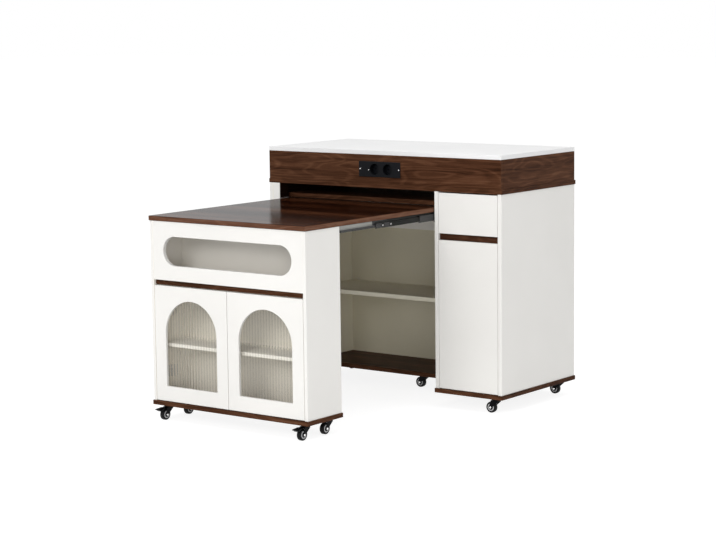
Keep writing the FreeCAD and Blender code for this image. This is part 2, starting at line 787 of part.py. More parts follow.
group("drawer_runner_bars", [
    board(f"runner_bar_{side}", wall.span("SlideStep", "RunnerGap"), DRAWER_Y,
          ("RunnerZ - RunnerBarHalf", "RunnerZ + RunnerBarHalf"))
    for side, wall in COLUMN_WALLS.items()
])
group("column_fittings", [
    channel(f"runner_{side}", wall, "0", "RunnerGap - SlideLip", "RunnerHalf", "RunnerZ", DRAWER_Y)
    for side, wall in COLUMN_WALLS.items()
] + [
    hinge_arm(f"column_{level}_arm", hinge_wall, "ColumnDoorBack", z)
    for level, z in COLUMN_HINGES.items()
])

# Casters: where their kingpins stand
MAIN_CASTERS = {
    "main_front_right": ("HalfWidth - MainCasterSide", "FrontY + MainCasterEnd"),
    "main_back_right": ("HalfWidth - MainCasterSide", "BackY - MainCasterEnd"),
    "main_middle": ("-MiddleCasterOffset", "BayFront + BayCasterInset"),
    "main_front_left": ("MainCasterSide - HalfWidth", "BayFront + BayCasterInset"),
    "main_back_left": ("MainCasterSide - HalfWidth", "BackY - MainCasterEnd"),
}
PULL_CASTERS = {
    "pull_front_left": ("PullLeft + PullCasterSide", "PullFront + PullCasterEnd"),
    "pull_front_right": ("PullRight - PullCasterSide", "PullFront + PullCasterEnd"),
    "pull_back_left": ("PullLeft + PullCasterSide", "PullBack - PullCasterEnd"),
    "pull_back_right": ("PullRight - PullCasterSide", "PullBack - PullCasterEnd"),
}
BRAKED = ["pull_front_left", "pull_front_right"]

# Headings as photographed, in degrees about +Z: at 0 the wheel trails to -X
MAIN_HEADING = 0
PULL_HEADING = 90


def caster_plate(name, x, y):
    """The mounting plate with the race that the fork turns in."""
    plate = new_body(f"plate_{name}")
    half = ("-CasterPlate / 2", "CasterPlate / 2")
    box_feature(plate, "Additive", "plate", half, half, ("CasterPlateBottom", "CasterHeight"))
    foot = ("0", "0", "RaceBottom")
    cylinder_feature(plate, "Additive", "race", "RaceRadius", "RaceHeight", foot, UPRIGHT)
    bore = ("KingpinRadius + SwivelPlay", "KingpinLength + 2 * SwivelPlay")
    cylinder_feature(plate, "Subtractive", "bore", *bore, foot, UPRIGHT)
    place(plate, x, y, "0")
    return plate


def stand(item, x, y, heading):
    """Sets a caster piece, drawn about its kingpin, in its place and turns it to its heading."""
    turn = FreeCAD.Rotation(FreeCAD.Vector(0, 0, 1), heading)
    item.Placement = FreeCAD.Placement(FreeCAD.Vector(), turn)
    place(item, x, y, "0")


def caster_fork(name, x, y, heading):
    """The fork, drawn in side view and slotted for the wheel, with its kingpin and axle."""
    fork = new_body(f"fork_{name}")
    sketch = plane_sketch(fork, "XZ_Plane", "profile")
    bind(sketch, "AttachmentOffset.Base.z", "ForkWidth / 2")
    outline(sketch, [
        ("CrownHalf", "CrownTop"),
        ("-CrownHalf", "CrownTop"),
        ("-Trail - LegEndRadius", "TyreRadius", "-Trail", "TyreRadius"),
        ("LegEndRadius - Trail", "TyreRadius"),
        ("CrownHalf", "CrownBottom"),
    ])
    pad(fork, sketch, "ForkWidth", reverse=True)
    break_edges(fork)
    reach = "Trail + CrownHalf + LegEndRadius"
    slot_x, slot_y = (f"-({reach})", reach), ("-ForkGap / 2", "ForkGap / 2")
    box_feature(fork, "Subtractive", "slot", slot_x, slot_y, ("0", "CrownBottom"))
    across = ("-Trail", "-ForkWidth / 2", "TyreRadius")
    cylinder_feature(fork, "Subtractive", "axle_hole", "AxleRadius", "ForkWidth", across)
    pin = ("KingpinRadius", "KingpinLength + SwivelPlay")
    cylinder_feature(fork, "Additive", "kingpin", *pin, ("0", "0", "CrownTop"), UPRIGHT)
    axle = doc.addObject("Part::Cylinder", f"axle_{name}")
    axle.Placement = FreeCAD.Placement(FreeCAD.Vector(), TO_BACK)
    bind(axle, "Radius", "AxleRadius")
    bind(axle, "Height", "ForkWidth")
    place(axle, *across)
    stand(group(f"caster_fork_{name}", [fork, axle]), x, y, heading)


def caster_wheel(name, x, y, heading):
    """A turned wheel: hub, dished rim and tyre with bevelled shoulders."""
    wheel = new_body(f"caster_wheel_{name}")
    sketch = plane_sketch(wheel, "XY_Plane", "profile")
    for axis, text in zip("xyz", ("-Trail", "-HubWidth / 2", "TyreRadius")):
        bind(sketch, f"AttachmentOffset.Base.{axis}", text)
    rim = ("(HubWidth - RimWidth) / 2", "(HubWidth + RimWidth) / 2")
    tyre = ("(HubWidth - TyreWidth) / 2", "(HubWidth + TyreWidth) / 2")
    bore = "AxleRadius + WheelPlay"
    shoulder = "TyreRadius - TyreShoulder"
    outline(sketch, [
        (bore, "0"),
        ("HubRadius", "0"),
        ("HubRadius", rim[0]),
        ("RimRadius", rim[0]),
        ("RimRadius", tyre[0]),
        (shoulder, tyre[0]),
        ("TyreRadius", f"{tyre[0]} + TyreShoulder"),
        ("TyreRadius", f"{tyre[1]} - TyreShoulder"),
        (shoulder, tyre[1]),
        ("RimRadius", tyre[1]),
        ("RimRadius", rim[1]),
        ("HubRadius", rim[1]),
        ("HubRadius", "HubWidth"),
        (bore, "HubWidth"),
    ])
    turned = wheel.newObject("PartDesign::Revolution", f"wheel_{name}_turned")
    turned.Profile = sketch
    turned.ReferenceAxis = (sketch, ["V_Axis"])
    turned.Angle = 360
    stand(node(wheel), x, y, heading)


def brake_pedal(name, x, y, heading):
    """The toe pedal behind the fork's crown: a hinge barrel, a neck over the wheel and a tread."""
    pedal = new_body(f"brake_pedal_{name}")
    sketch = plane_sketch(pedal, "XY_Plane", "profile")
    bind(sketch, "AttachmentOffset.Base.z", "CrownTop - PedalThickness")
    tip = "-PedalPivot - PedalLength"
    flare = f"{tip} + PedalTread"
    round_off = f"{tip} + PedalWidth / 2"
    outline(sketch, [
        ("-PedalPivot", "-PedalNeck / 2"),
        ("-PedalPivot", "PedalNeck / 2"),
        (flare, "PedalNeck / 2"),
        (round_off, "PedalWidth / 2", round_off, "0"),
        (round_off, "-PedalWidth / 2"),
        (flare, "-PedalNeck / 2"),
    ])
    pad(pedal, sketch, "PedalThickness")
    break_edges(pedal)
    hinge = ("-PedalPivot", "-PedalNeck / 2", "CrownTop - PedalThickness / 2")
    cylinder_feature(pedal, "Additive", "barrel", "PedalThickness / 2", "PedalNeck", hinge)
    stand(node(pedal), x, y, heading)


SETS = [
    ("main_caster_plates", MAIN_CASTERS, MAIN_HEADING),
    ("pullout_caster_plates", PULL_CASTERS, PULL_HEADING),
]
for label, casters, heading in SETS:
    group(label, [caster_plate(name, *spot) for name, spot in casters.items()])
    for name, spot in casters.items():
        caster_fork(name, *spot, heading)
        caster_wheel(name, *spot, heading)
        if name in BRAKED:
            brake_pedal(name, *spot, heading)

doc.recompute()
for item in doc.Objects:
    if "Invalid" in item.State or "Error" in item.State:
        raise RuntimeError(f"{item.Label} did not build: {item.State}")
for item in NODES:
    if item.Shape.isNull() or not item.Shape.isValid():
        raise RuntimeError(f"{item.Label} has no valid shape")

os.makedirs("parts", exist_ok=True)
for item in NODES:
    item.Shape.exportStep(f"parts/{item.Label}.step")
print(len(NODES), "sub-parts written")
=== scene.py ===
import json
import math

import bmesh
import bpy
from mathutils import Matrix, Vector


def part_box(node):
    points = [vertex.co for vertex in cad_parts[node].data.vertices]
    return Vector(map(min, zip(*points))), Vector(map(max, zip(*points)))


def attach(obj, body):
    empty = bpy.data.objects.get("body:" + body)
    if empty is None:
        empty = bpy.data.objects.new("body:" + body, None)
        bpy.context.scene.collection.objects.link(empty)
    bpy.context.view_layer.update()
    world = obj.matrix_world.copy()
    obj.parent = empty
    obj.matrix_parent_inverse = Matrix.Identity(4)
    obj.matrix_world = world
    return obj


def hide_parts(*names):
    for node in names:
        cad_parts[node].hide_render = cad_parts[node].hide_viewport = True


# Looks of the kitchen cart, in metres and in the frame of its solids
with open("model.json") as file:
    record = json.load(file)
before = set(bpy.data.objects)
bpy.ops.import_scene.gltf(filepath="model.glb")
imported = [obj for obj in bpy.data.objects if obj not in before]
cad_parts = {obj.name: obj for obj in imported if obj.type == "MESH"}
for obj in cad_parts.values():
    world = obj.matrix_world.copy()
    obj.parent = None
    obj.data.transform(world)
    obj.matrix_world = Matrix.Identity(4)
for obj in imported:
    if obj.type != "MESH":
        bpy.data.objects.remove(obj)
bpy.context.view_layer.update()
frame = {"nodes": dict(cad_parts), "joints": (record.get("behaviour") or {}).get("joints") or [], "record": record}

MM = 0.001
RIGHTWARD = Vector((1, 0, 0))
FRONTWARD = Vector((0, -1, 0))
UPWARD = Vector((0, 0, 1))
NODES = frame["nodes"]
JOINTS = {joint["name"]: joint for joint in frame["joints"]}
SLOTS = {part["node"]: part["material_slot"] for part in frame["record"]["subparts"]}
BODY_OF = {node: body for body, nodes in frame["record"]["behaviour"]["bodies"].items() for node in nodes}
CASTERS = [name.removeprefix("caster_wheel_") for name in sorted(NODES) if name.startswith("caster_wheel_")]
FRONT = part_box("worktop")[0].y


def middle_of(node):
    low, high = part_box(node)
    return (low + high) / 2


# Node helpers

def add(tree, kind, inputs=None, **settings):
    """Adds a node, sets its properties, and sets or joins its inputs by name or number."""
    node = tree.nodes.new(kind)
    for key, value in settings.items():
        setattr(node, key, value)
    for key, value in (inputs or {}).items():
        if isinstance(value, bpy.types.NodeSocket):
            tree.links.new(value, node.inputs[key])
        else:
            node.inputs[key].default_value = value
    return node


def math_node(tree, operation, *values):
    return add(tree, "ShaderNodeMath", dict(enumerate(values)), operation=operation).outputs[0]


def noise(tree, vector, scale, detail, distortion=0.0):
    inputs = {"Vector": vector, "Scale": scale, "Detail": detail, "Distortion": distortion}
    return add(tree, "ShaderNodeTexNoise", inputs).outputs["Fac"]


def stretched_noise(tree, vector, scales, detail, distortion=0.0):
    """Noise with its own scale along each axis."""
    stretched = add(tree, "ShaderNodeVectorMath", {0: vector, 1: scales}, operation="MULTIPLY").outputs[0]
    return noise(tree, stretched, 1.0, detail, distortion)


def ramp(tree, value, stops):
    """A colour ramp over a value, from (place, colour) stops."""
    node = add(tree, "ShaderNodeValToRGB", {"Fac": value})
    elements = node.color_ramp.elements
    while len(elements) < len(stops):
        elements.new(0.5)
    for element, (place, colour) in zip(elements, stops):
        element.position = place
        element.color = (*colour, 1.0)
    return node.outputs["Color"]


def span(tree, value, low, high):
    """Rescales a value from 0..1 to low..high."""
    node = add(tree, "ShaderNodeMapRange", {"Value": value, "To Min": low, "To Max": high})
    return node.outputs["Result"]


def blend(tree, factor, first, second, kind="FLOAT"):
    """The first input where the factor is 0, and the second where it is 1."""
    node = add(tree, "ShaderNodeMix", {"Factor": factor, "A": first, "B": second}, data_type=kind)
    return node.outputs["Result"]


def split(tree, vector):
    return add(tree, "ShaderNodeSeparateXYZ", {0: vector}).outputs


def combine(tree, *values):
    return add(tree, "ShaderNodeCombineXYZ", dict(enumerate(values))).outputs[0]


def weigh(tree, *parts):
    """The weighted sum of some values, each given with its share."""
    total = 0.0
    for value, share in parts:
        inputs = {0: value, 1: share, 2: total}
        total = add(tree, "ShaderNodeMath", inputs, operation="MULTIPLY_ADD").outputs[0]
    return total


def steep(tree, part, limit):
    """1 where a part of the normal is larger than a limit, whichever way it points."""
    return math_node(tree, "GREATER_THAN", math_node(tree, "ABSOLUTE", part), limit)


def shader_group(name, inputs, outputs):
    """An empty shader group with named sockets: its tree, its input node and its output node."""
    tree = bpy.data.node_groups.new(name, "ShaderNodeTree")
    for label, kind in inputs:
        tree.interface.new_socket(label, in_out="INPUT", socket_type=f"NodeSocket{kind}")
    for label, kind in outputs:
        tree.interface.new_socket(label, in_out="OUTPUT", socket_type=f"NodeSocket{kind}")
    return tree, tree.nodes.new("NodeGroupInput").outputs, tree.nodes.new("NodeGroupOutput").inputs


def use_group(tree, group, inputs):
    """Places a shared effect in a material with its own values."""
    return add(tree, "ShaderNodeGroup", inputs, node_tree=group).outputs


def finish_of(name):
    """A new material with its shader and the object's own coordinates."""
    material = bpy.data.materials.new(name)
    material.use_nodes = True
    tree = material.node_tree
    shader = tree.nodes["Principled BSDF"]
    return material, tree, shader, add(tree, "ShaderNodeTexCoord").outputs


def bump(tree, shader, height, strength, distance):
    node = add(tree, "ShaderNodeBump", {"Height": height, "Strength": strength, "Distance": distance})
    tree.links.new(node.outputs["Normal"], shader.inputs["Normal"])


def seen_directly(tree):
    """1 where the camera sees a surface, also in a mirror or through glass."""
    path = add(tree, "ShaderNodeLightPath").outputs
    bent = math_node(tree, "MAXIMUM", path["Is Glossy Ray"], path["Is Transmission Ray"])
    return math_node(tree, "MAXIMUM", path["Is Camera Ray"], bent)


# Shared effects

STEEP_FACE = 0.6
# Each layer of the walnut figure: scales along and across the grain, detail, distortion
GRAIN_LAYERS = {
    "wander": ((1.6, 7.0, 7.0), 2.0, 0.0),
    "streaks": ((1.5, 120.0, 120.0), 6.0, 0.2),
    "heart": ((0.8, 20.0, 20.0), 2.0, 0.4),
    "fine": ((10.0, 520.0, 520.0), 3.0, 0.0),
    "rings": ((3.2, 20.0, 20.0), 0.8, 0.2),
    "broad": ((0.5, 7.0, 7.0), 2.0, 0.0),
    "pores": ((38.0, 900.0, 900.0), 1.0, 0.0),
}
GRAIN_SHARES = {"streaks": 0.36, "heart": 0.26, "rings": 0.20, "fine": 0.18}
GRAIN_WANDER = 0.035
RING_COUNT = 62.0
RING_TONES = (0.34, 0.66)
PORE_RANGE = (0.62, 0.74)


def make_grain():
    """Walnut figure: long streaks, darker heart bands and short pores, along X, or along Y on end faces."""
    tree, given, result = shader_group(
        "walnut_figure",
        [("Place", "Vector"), ("Facing", "Vector"), ("Offset", "Float"), ("Broad", "Float")],
        [("Figure", "Float"), ("Pores", "Float")],
    )

    def layer(vector, name):
        return stretched_noise(tree, vector, *GRAIN_LAYERS[name])

    place = split(tree, given["Place"])
    end_face = steep(tree, split(tree, given["Facing"])["X"], STEEP_FACE)
    length = blend(tree, end_face, place["X"], place["Y"])
    across = blend(tree, end_face, place["Y"], place["X"])
    laid = combine(tree, math_node(tree, "ADD", length, given["Offset"]), across, place["Z"])
    shift = span(tree, layer(laid, "wander"), -GRAIN_WANDER, GRAIN_WANDER)
    shifts = combine(tree, 0.0, shift, shift)
    bent = add(tree, "ShaderNodeVectorMath", {0: laid, 1: shifts}, operation="ADD").outputs[0]
    rings = math_node(tree, "SINE", math_node(tree, "MULTIPLY", layer(laid, "rings"), RING_COUNT))
    broad = math_node(tree, "SUBTRACT", layer(bent, "broad"), 0.5)
    figure = weigh(
        tree,
        (layer(bent, "streaks"), GRAIN_SHARES["streaks"]),
        (layer(bent, "heart"), GRAIN_SHARES["heart"]),
        (span(tree, rings, *RING_TONES), GRAIN_SHARES["rings"]),
        (layer(bent, "fine"), GRAIN_SHARES["fine"]),
        (broad, given["Broad"]),
    )
    pores = add(tree, "ShaderNodeMapRange", {
        "Value": layer(laid, "pores"), "From Min": PORE_RANGE[0], "From Max": PORE_RANGE[1]})
    tree.links.new(figure, result["Figure"])
    tree.links.new(pores.outputs["Result"], result["Pores"])
    return tree


TONE_SCALE = 3.1
GLOSS_SCALE = 14.0


def make_skin():
    """Slow unevenness of tone and gloss, and the fine orange peel of a sprayed or moulded surface."""
    tree, given, result = shader_group(
        "coated_skin",
        [("Place", "Vector"), ("Peel size", "Float")],
        [("Tone", "Float"), ("Gloss", "Float"), ("Peel", "Float")],
    )
    peel_scale = math_node(tree, "DIVIDE", 1.0, given["Peel size"])
    tree.links.new(noise(tree, given["Place"], TONE_SCALE, detail=3.0), result["Tone"])
    tree.links.new(noise(tree, given["Place"], GLOSS_SCALE, detail=4.0), result["Gloss"])
    tree.links.new(noise(tree, given["Place"], peel_scale, detail=2.0), result["Peel"])
    return tree


GRAIN = make_grain()
SKIN = make_skin()


# Finishes

def coated(name, dark, light, roughness, peel, strength=0.05, shine=0.5):
    """Lacquer or moulded plastic: two near tones, uneven gloss and orange peel."""
    material, tree, shader, coords = finish_of(name)
    shader.inputs["Specular IOR Level"].default_value = shine
    skin = use_group(tree, SKIN, {"Place": coords["Object"], "Peel size": peel})
    tree.links.new(ramp(tree, skin["Tone"], [(0.3, dark), (0.7, light)]), shader.inputs["Base Color"])
    tree.links.new(span(tree, skin["Gloss"], *roughness), shader.inputs["Roughness"])
    bump(tree, shader, skin["Peel"], strength, distance=0.4 * MM)
    return material


FIGURE_STEPS = (0.36, 0.46, 0.545, 0.65)
PORE_DARKNESS = 0.55
FIGURE_RELIEF = 0.25


def walnut(name, offset, roughness, shine, tones, lit_edge_tones=None, broad=0.0):
    """Walnut-faced board, its tones from the darkest streak to the lightest."""
    material, tree, shader, coords = finish_of(name)
    shader.inputs["Specular IOR Level"].default_value = shine
    wood = use_group(tree, GRAIN, {
        "Place": coords["Object"], "Facing": coords["Normal"], "Offset": offset, "Broad": broad})
    colour = ramp(tree, wood["Figure"], list(zip(FIGURE_STEPS, tones)))
    # Upright faces take lighter tones than flat ones: painted light on the side faces
    if lit_edge_tones:
        flat = steep(tree, split(tree, coords["Normal"])["Z"], STEEP_FACE)
        edge = ramp(tree, wood["Figure"], list(zip(FIGURE_STEPS, lit_edge_tones)))
        colour = blend(tree, flat, edge, colour, "RGBA")
    pores = math_node(tree, "MULTIPLY", wood["Pores"], PORE_DARKNESS)
    colour = blend(tree, pores, colour, (*tones[0], 1.0), "RGBA")
    tree.links.new(colour, shader.inputs["Base Color"])
    tree.links.new(span(tree, wood["Figure"], *roughness), shader.inputs["Roughness"])
    relief = math_node(tree, "MULTIPLY", wood["Figure"], FIGURE_RELIEF)
    depth = math_node(tree, "SUBTRACT", relief, wood["Pores"])
    bump(tree, shader, depth, strength=0.04, distance=0.2 * MM)
    return material


LINES_ALONG_X = (8.0, 900.0, 900.0)
LINES_ALONG_Y = (900.0, 8.0, 900.0)
NO_LINES = (300.0, 300.0, 300.0)


def metal(name, dark, light, roughness, brushing=LINES_ALONG_X):
    """Rolled or turned metal with fine lines along one direction."""
    material, tree, shader, coords = finish_of(name)
    lines = stretched_noise(tree, coords["Object"], brushing, detail=3.0)
    tree.links.new(ramp(tree, lines, [(0.35, dark), (0.65, light)]), shader.inputs["Base Color"])
    tree.links.new(span(tree, lines, *roughness), shader.inputs["Roughness"])
    shader.inputs["Metallic"].default_value = 1.0
    bump(tree, shader, lines, strength=0.04, distance=0.1 * MM)
    return material


# Black of the slides' plastic stops and spacers, and of the painted shade on stage A
BLACK_PARTS_AND_PAINTED_SHADE = (0.008, 0.008, 0.009, 1.0)


def slide_steel(name, dark, light, black_spans=(), black_below=0.0):
    """Plated slide member, black in some spans along Y and below a level: black stops and spacers, and painted
    shade on stage A.
    """
    material = metal(name, dark, light, (0.30, 0.46), LINES_ALONG_Y)
    tree = material.node_tree
    shader = tree.nodes["Principled BSDF"]
    place = split(tree, add(tree, "ShaderNodeTexCoord").outputs["Object"])
    black = math_node(tree, "LESS_THAN", place["Z"], black_below)
    for start, end in black_spans:
        offset = math_node(tree, "ABSOLUTE", math_node(tree, "SUBTRACT", place["Y"], (start + end) / 2))
        within = math_node(tree, "LESS_THAN", offset, (end - start) / 2)
        black = math_node(tree, "MAXIMUM", black, within)
    steel = shader.inputs["Base Color"].links[0].from_socket
    tree.links.new(blend(tree, black, steel, BLACK_PARTS_AND_PAINTED_SHADE, "RGBA"), shader.inputs["Base Color"])
    tree.links.new(math_node(tree, "SUBTRACT", 1.0, black), shader.inputs["Metallic"])
    return material


# Glass tints at the flute crests and flanks; the darker flank tint is painted shade
GLASS_CREST = (0.97, 0.953, 0.915)
GLASS_SHADED_FLANK = (0.68, 0.663, 0.628)
GLASS_SHADOW = (0.93, 0.93, 0.92, 1.0)
FLANK_SHADE_GAIN = 1.4
GLASS_IOR = 1.32


def fluted_glass(name):
    """Clear fluted glass that lets light through to what stands behind it. Its flute flanks are tinted darker than
    its crests, as painted shade that draws the flutes.
    """
    material, tree, shader, coords = finish_of(name)
    cloud = noise(tree, coords["Object"], scale=6.0, detail=2.0)
    slope = math_node(tree, "ABSOLUTE", split(tree, coords["Normal"])["X"])
    flank_shade = math_node(tree, "MULTIPLY", slope, FLANK_SHADE_GAIN)
    flute_shading = ramp(tree, flank_shade, [(0.15, GLASS_CREST), (0.75, GLASS_SHADED_FLANK)])
    tree.links.new(flute_shading, shader.inputs["Base Color"])
    tree.links.new(span(tree, cloud, low=0.01, high=0.03), shader.inputs["Roughness"])
    shader.inputs["Transmission Weight"].default_value = 1.0
    shader.inputs["IOR"].default_value = GLASS_IOR
    clear = add(tree, "ShaderNodeBsdfTransparent", {"Color": GLASS_SHADOW})
    path = add(tree, "ShaderNodeLightPath").outputs
    passing = math_node(tree, "MAXIMUM", path["Is Shadow Ray"], path["Is Diffuse Ray"])
    mixed = add(tree, "ShaderNodeMixShader", {0: passing, 1: shader.outputs[0], 2: clear.outputs[0]})
    tree.links.new(mixed.outputs[0], tree.nodes["Material Output"].inputs["Surface"])
    return material


WHITE = coated(
    "white_lacquer", (0.79, 0.777, 0.748), (0.825, 0.812, 0.783), roughness=(0.32, 0.44), peel=1.6 * MM)
WORKTOP = coated(
    "white_worktop", (0.79, 0.79, 0.79), (0.83, 0.83, 0.83), roughness=(0.28, 0.40), peel=1.1 * MM)
BAY_WHITE = coated(
    "bay_white", (0.82, 0.775, 0.635), (0.855, 0.81, 0.67), roughness=(0.36, 0.48), peel=1.6 * MM)
BACK_SHEET = coated(
    "back_sheet", (0.66, 0.615, 0.475), (0.70, 0.655, 0.515), roughness=(0.50, 0.62), peel=1.0 * MM)
NICHE_WHITE = coated(
    "niche_white", (0.81, 0.775, 0.70), (0.845, 0.81, 0.735), roughness=(0.34, 0.46), peel=1.6 * MM)
RAIL_WHITE = coated(
    "rail_white", (0.86, 0.84, 0.79), (0.89, 0.87, 0.82), roughness=(0.36, 0.48), peel=1.6 * MM)

BROWN = (
    (0.022, 0.008, 0.0035), (0.058, 0.0225, 0.0105), (0.092, 0.038, 0.019), (0.138, 0.063, 0.033))
DEEP_BROWN = (
    (0.013, 0.0042, 0.0019), (0.040, 0.0145, 0.0066), (0.066, 0.0265, 0.0130), (0.105, 0.0470, 0.0245))
TABLE_BROWN = (
    (0.004, 0.0010, 0.0005), (0.018, 0.0050, 0.0021), (0.042, 0.0135, 0.0056), (0.092, 0.0350, 0.0160))
# Lighter tones for the table's upright faces: painted light on its edges
LIT_EDGE_BROWN = (
    (0.056, 0.022, 0.0125), (0.098, 0.043, 0.0255), (0.136, 0.064, 0.0395), (0.178, 0.091, 0.058))
# Walnut at a third of the deep tone, for the slot linings: painted shade in the slot over the table
LINING_PAINTED_SHADE = 0.3
PAINTED_SHADE_BROWN = tuple(tuple(value * LINING_PAINTED_SHADE for value in tone) for tone in DEEP_BROWN)
WALNUT = walnut("walnut_board", offset=0.0, roughness=(0.46, 0.36), shine=0.03, tones=BROWN)
WALNUT_APRON = walnut("walnut_apron", offset=0.37, roughness=(0.44, 0.34), shine=0.03, tones=BROWN)
WALNUT_TABLE = walnut(
    "walnut_table", offset=1.9, roughness=(0.22, 0.14), shine=0.010, tones=TABLE_BROWN,
    lit_edge_tones=LIT_EDGE_BROWN, broad=0.55)
WALNUT_GROOVE = walnut("walnut_groove", offset=0.9, roughness=(0.52, 0.42), shine=0.06, tones=DEEP_BROWN)
WALNUT_PAINTED_SHADE = walnut("painted_shade_walnut", offset=2.7, roughness=(0.60, 0.48), shine=0.1, tones=PAINTED_SHADE_BROWN)

FELT = coated(
    "black_felt", (0.006, 0.005, 0.005), (0.012, 0.011, 0.010),
    roughness=(0.88, 0.98), peel=0.4 * MM, strength=0.4, shine=0.05)
SOCKET_BLACK = coated(
    "socket_plastic", (0.004, 0.0045, 0.006), (0.008, 0.0085, 0.011),
    roughness=(0.30, 0.42), peel=0.6 * MM, strength=0.1, shine=0.10)
CASTER_BLACK = coated(
    "caster_plastic", (0.0015, 0.0015, 0.002), (0.004, 0.004, 0.005),
    roughness=(0.22, 0.34), peel=0.7 * MM, strength=0.1, shine=0.06)
TYRE = coated(
    "tyre_rubber", (0.003, 0.003, 0.003), (0.007, 0.007, 0.007),
    roughness=(0.40, 0.55), peel=0.5 * MM, strength=0.2, shine=0.12)
RING_GREY = coated(
    "wheel_ring", (0.50, 0.50, 0.51), (0.58, 0.58, 0.59), roughness=(0.30, 0.40), peel=0.7 * MM)
LENS_GREY = coated(
    "indicator_lens", (0.62, 0.62, 0.60), (0.72, 0.72, 0.70), roughness=(0.15, 0.25), peel=0.5 * MM)
ZINC = metal("zinc_steel", (0.46, 0.46, 0.47), (0.64, 0.64, 0.65), roughness=(0.24, 0.40))
BRIGHT = metal(
    "bright_steel", (0.70, 0.70, 0.70), (0.82, 0.82, 0.82), roughness=(0.12, 0.22), brushing=NO_LINES)
GLASS = fluted_glass("fluted_glass")

# Slide members: black spans from and to, measured back from the front end of a stage
DARK_ZINC = ((0.012, 0.0125, 0.012), (0.032, 0.033, 0.031))
PALE_ZINC = ((0.22, 0.22, 0.21), (0.33, 0.33, 0.31))
# Stage A's black span is painted shade under the table near the cabinet
STAGE_A_PAINTED_SHADE = (0.0, 120 * MM)
STAGE_B_STOP = (-1 * MM, 32 * MM)
STAGE_B_SPACER = (46 * MM, 76 * MM)
INNER_RAIL_END = (-14 * MM, 1000 * MM)
# The inner rails are black below this height above the slides' middle
INNER_RAIL_BLACK_LEVEL = 4 * MM
SLIDE_Z = middle_of("slide_stage_b").z
stage_a_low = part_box("slide_stage_a")[0]
stage_b_low, stage_b_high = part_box("slide_stage_b")


def behind(front, reach):
    """A span along Y that is measured back from a front end."""
    return front + reach[0], front + reach[1]


SLIDE_FIXED = slide_steel("slide_rails_fixed_finish", *DARK_ZINC)
SLIDE_A = slide_steel("slide_stage_a_finish", *DARK_ZINC, [behind(stage_a_low.y, STAGE_A_PAINTED_SHADE)])
SLIDE_B = slide_steel(
    "slide_stage_b_finish", *DARK_ZINC,
    [behind(stage_b_low.y, STAGE_B_STOP), behind(stage_b_low.y, STAGE_B_SPACER)])
SLIDE_INNER = slide_steel(
    "slide_rails_inner_finish", *PALE_ZINC,
    [behind(stage_b_low.y, INNER_RAIL_END)], black_below=SLIDE_Z + INNER_RAIL_BLACK_LEVEL)

FINISH_OF_SLOT = {
    "white_top": WORKTOP,
    "white_lacquer": WHITE,
    "walnut": WALNUT,
    "socket_black": SOCKET_BLACK,
    "steel": ZINC,
    "fluted_glass": GLASS,
    "caster_black": CASTER_BLACK,
    "wheel": TYRE,
}
FINISH_OF_NODE = {
    "apron_front": WALNUT_APRON,
    "apron_returns": WALNUT_APRON,
    "table_top": WALNUT_TABLE,
    "column_rail": WALNUT_GROOVE,
    "bay_shelf": BAY_WHITE,
    "back_rails": RAIL_WHITE,
    "pullout_shelf": RAIL_WHITE,
    "slide_rails_fixed": SLIDE_FIXED,
    "slide_stage_a": SLIDE_A,
    "slide_stage_b": SLIDE_B,
    "slide_rails_inner": SLIDE_INNER,
}
for name, item in NODES.items():
    item.data.materials.clear()
    item.data.materials.append(FINISH_OF_NODE.get(name, FINISH_OF_SLOT[SLOTS[name]]))

# Faces that look to the middle of the bay or of the end cabinet, in warmer tones
BAY_MIDDLE = middle_of("bay_shelf")
CUPBOARD_MIDDLE = middle_of("pullout_sides")
INNER_FACES = (
    ("left_panel", BAY_MIDDLE, BAY_WHITE),
    ("divider", BAY_MIDDLE, BAY_WHITE),
    ("back_panel", BAY_MIDDLE, BACK_SHEET),
    ("pullout_sides", CUPBOARD_MIDDLE, NICHE_WHITE),
    ("pullout_back", CUPBOARD_MIDDLE, NICHE_WHITE),
)
for node, middle, finish in INNER_FACES:
    mesh = NODES[node].data
    mesh.materials.append(finish)
    for face in mesh.polygons:
        if face.normal.dot(middle - face.center) > 0:
            face.material_index = 1

# Hinge cups on the backs of the doors, in the colour of steel
DOOR_BOARD = 15 * MM
CUP_RADIUS = 17.4 * MM
CUP_DEPTH = 11 * MM
CUP_PLATE_RISE = 0.05 * MM
CUP_SETBACK = 20.5 * MM
CUP_INSET = 91 * MM


def steel_cups(node, cup_x, cup_heights, back):
    """Gives the hinge cups in a door's node, and the plates that stand out from its back, their colour."""
    mesh = NODES[node].data
    mesh.materials.append(ZINC)
    for face in mesh.polygons:
        reach = min(math.hypot(face.center.x - cup_x, face.center.z - z) for z in cup_heights)
        in_cup = reach < CUP_RADIUS and face.center.y > back - CUP_DEPTH
        if in_cup or face.center.y > back + CUP_PLATE_RISE:
            face.material_index = 1


for node, hinged_left in (("left_door", True), ("right_door", False), ("column_door", False)):
    low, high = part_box(node)
    cup_x = low.x + CUP_SETBACK if hinged_left else high.x - CUP_SETBACK
    steel_cups(node, cup_x, (low.z + CUP_INSET, high.z - CUP_INSET), low.y + DOOR_BOARD)


# Pieces

def piece(name, mesh, body, slot, *materials):
    """A finished piece at the origin that rides on a body and takes the finishes that it is given. Its slot is not
    used.
    """
    item = bpy.data.objects.new(name, mesh)
    bpy.context.scene.collection.objects.link(item)
    for material in materials:
        mesh.materials.append(material)
    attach(item, body)
    return item


def mesh_from(form, name):
    """The plain mesh of an edited form, which is used up."""
    mesh = bpy.data.meshes.new(name)
    form.to_mesh(mesh)
    form.free()
    return mesh


def joined_mesh(name, meshes):
    """Several meshes as one. The single ones are used up."""
    form = bmesh.new()
    for mesh in meshes:
        form.from_mesh(mesh)
        bpy.data.meshes.remove(mesh)
    return mesh_from(form, name)


BROKEN_EDGE = 0.2


